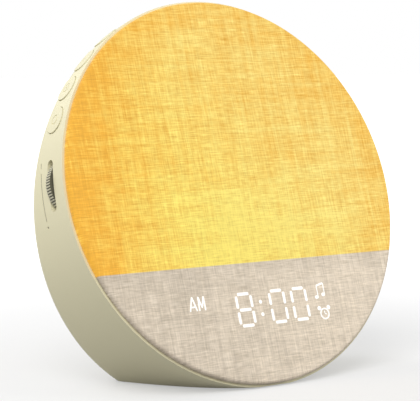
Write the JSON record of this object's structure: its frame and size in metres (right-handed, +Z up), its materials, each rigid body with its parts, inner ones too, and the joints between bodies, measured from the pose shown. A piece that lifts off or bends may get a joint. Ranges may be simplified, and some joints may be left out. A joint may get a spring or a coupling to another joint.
{
  "type": "sunrise alarm clock",
  "caption": "Slanted drum-shaped wake-up light clock with a round linen front, lit upper field, hidden digits, side buttons and a thumbwheel.",
  "frame": {"origin": "centre of the rubber pad's flat underside, on the surface that the clock stands on", "axes": "+X to the viewer's right, +Y to the back, +Z up"},
  "size_m": [0.1732, 0.0708, 0.1632],
  "materials": {
    "shell": "fine matte moulded",
    "linen": "woven linen",
    "milky": "milky diffusing",
    "reflector": "white satin",
    "board": "solder mask",
    "led": "phosphor",
    "dark_plastic": "fine matte",
    "lit": "lit white",
    "ribbon": "film",
    "steel": "plain",
    "wheel": "ribbed moulded",
    "rubber": "matte",
    "magnet": "ferrite",
    "paper_cone": "pressed",
    "cell": "bright",
    "tin": "satin"
  },
  "bodies": {
    "housing": {"drum_shell": "shell", "linen_cover": "linen", "front_diffuser": "milky", "light_tray": "reflector", "light_board": "board", "light_leds": "led", "display_block": "dark_plastic", "display_segments": "lit", "display_board": "board", "display_ribbon": "ribbon", "button_board": "board", "tact_switches": "tin", "wheel_bracket": "dark_plastic", "wheel_encoder": "dark_plastic", "foot_pad": "rubber", "rear_cover": "shell", "cover_screws": "steel", "main_board": "board", "board_chips": "dark_plastic", "board_screws": "steel", "coin_cell": "cell", "coin_cell_holder": "dark_plastic", "speaker_basket": "tin", "speaker_magnet": "magnet", "speaker_cone": "paper_cone", "speaker_surround": "rubber", "speaker_screws": "steel", "power_socket": "tin", "socket_board": "board"},
    "alarm_button": {"alarm_button": "shell"},
    "light_button": {"light_button": "shell"},
    "sound_button": {"sound_button": "shell"},
    "set_button": {"set_button": "shell"},
    "volume_wheel": {"volume_wheel": "wheel", "wheel_axle": "steel"}
  },
  "joints": [
    {"name": "alarm_button_press", "type": "slide", "parent": "housing", "child": "alarm_button", "axis": [0.9063, -0.1339, -0.4008], "range_m": [0, 0.0005], "stiffness_N_per_m": 800, "springref_m": -0.0005},
    {"name": "light_button_press", "type": "slide", "parent": "housing", "child": "light_button", "axis": [0.8161, -0.1831, -0.5481], "range_m": [0, 0.0005], "stiffness_N_per_m": 800, "springref_m": -0.0005},
    {"name": "sound_button_press", "type": "slide", "parent": "housing", "child": "sound_button", "axis": [0.6997, -0.2264, -0.6777], "range_m": [0, 0.0005], "stiffness_N_per_m": 800, "springref_m": -0.0005},
    {"name": "set_button_press", "type": "slide", "parent": "housing", "child": "set_button", "axis": [0.5606, -0.2623, -0.7854], "range_m": [0, 0.0005], "stiffness_N_per_m": 800, "springref_m": -0.0005},
    {"name": "volume_wheel_turn", "type": "hinge", "parent": "housing", "child": "volume_wheel", "pos_m": [-0.07423, 0.0052, 0.08559], "axis": [0, 0.9485, -0.3168], "continuous": true}
  ]
}
